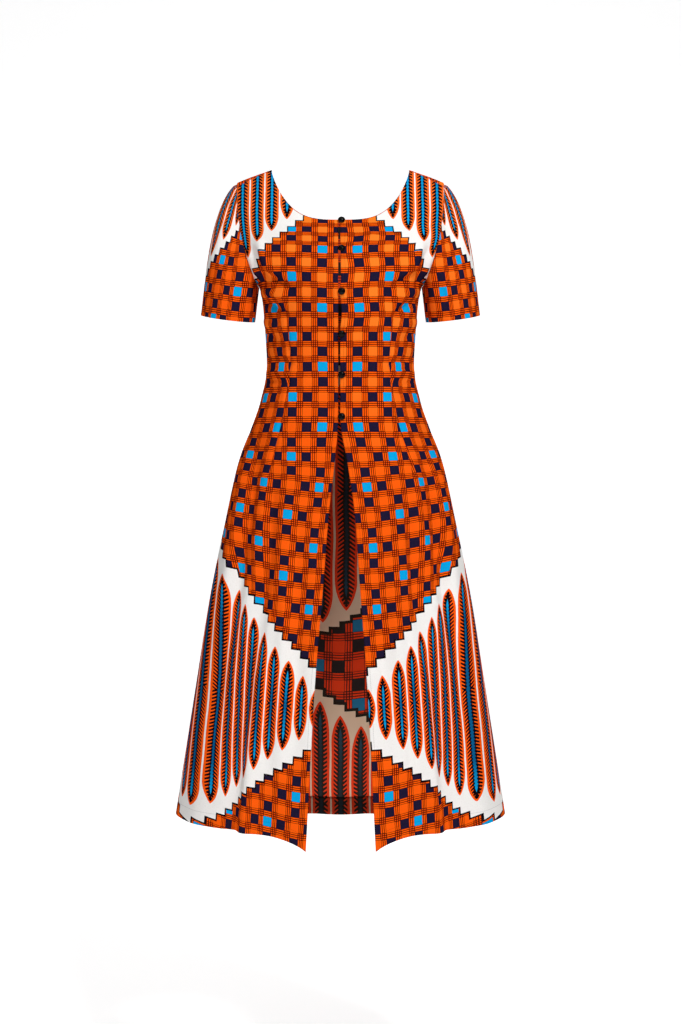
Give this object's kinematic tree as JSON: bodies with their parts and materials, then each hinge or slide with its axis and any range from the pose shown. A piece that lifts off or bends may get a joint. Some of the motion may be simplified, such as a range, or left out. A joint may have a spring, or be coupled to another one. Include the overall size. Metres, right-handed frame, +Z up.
{
  "type": "button-front long top",
  "caption": "Calf-length short-sleeved top in printed cotton: scooped neck, buttoned to the waist and open in a long slit below, held in a worn, hollow pose.",
  "frame": {"origin": "midway between the two high points of the shoulders, where the wearer carries the top", "axes": "+Z up along the garment, -Y to the front, +X to the wearer's left"},
  "size_m": [0.6234, 0.3861, 1.2576],
  "materials": {
    "printed_cotton": "plain-woven wax-print cotton, matt with a slight sheen",
    "printed_cotton_inside": "inside of the same cotton",
    "black_button": "polished black dome",
    "black_cord": "black covered cord"
  },
  "bodies": {
    "root": {"front_right": "printed_cotton", "front_left": "printed_cotton", "back": "printed_cotton", "sleeve_right": "printed_cotton", "sleeve_left": "printed_cotton", "back_hem": "printed_cotton_inside", "button_1": "black_button", "button_2": "black_button", "button_3": "black_button", "button_4": "black_button", "button_5": "black_button", "button_6": "black_button", "loop_1": "black_cord", "loop_2": "black_cord", "loop_3": "black_cord", "loop_4": "black_cord", "loop_5": "black_cord", "loop_6": "black_cord"}
  },
  "joints": []
}
